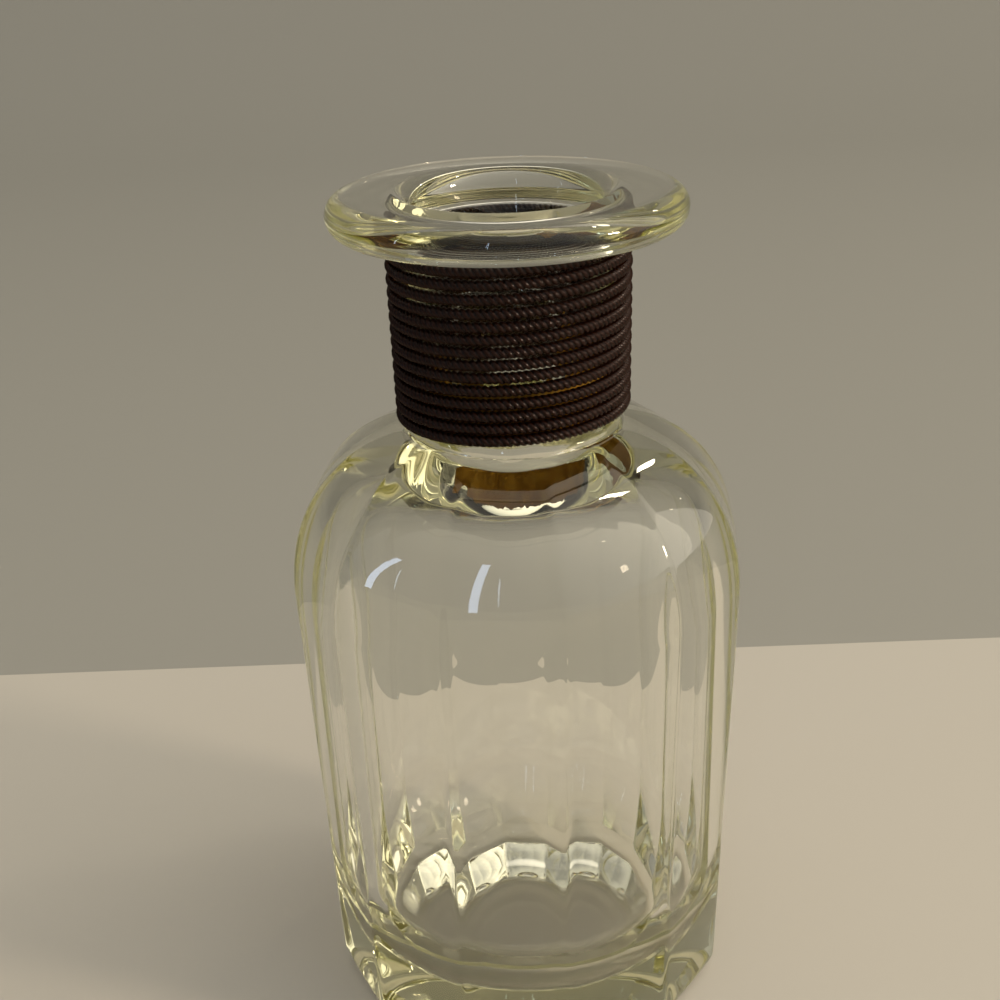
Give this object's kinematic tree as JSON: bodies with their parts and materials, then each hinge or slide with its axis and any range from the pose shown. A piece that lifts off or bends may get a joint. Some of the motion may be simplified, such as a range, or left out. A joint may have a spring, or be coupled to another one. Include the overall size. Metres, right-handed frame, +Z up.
{
  "type": "ribbed glass bottle",
  "caption": "Open clear glass bottle with a panelled, ribbed body, round shoulder, wide flat lip and a neck wound with dark waxed cord.",
  "frame": {"origin": "middle of the foot, on the surface that the bottle stands on", "axes": "+Z up along the bottle's axis, -Y towards the viewer of the picture"},
  "size_m": [0.0678, 0.0678, 0.1279],
  "materials": {
    "clear_glass": "polished",
    "waxed_cord": "waxed, twisted"
  },
  "bodies": {
    "root": {"glass_bottle": "clear_glass", "neck_cord": "waxed_cord"}
  },
  "joints": []
}
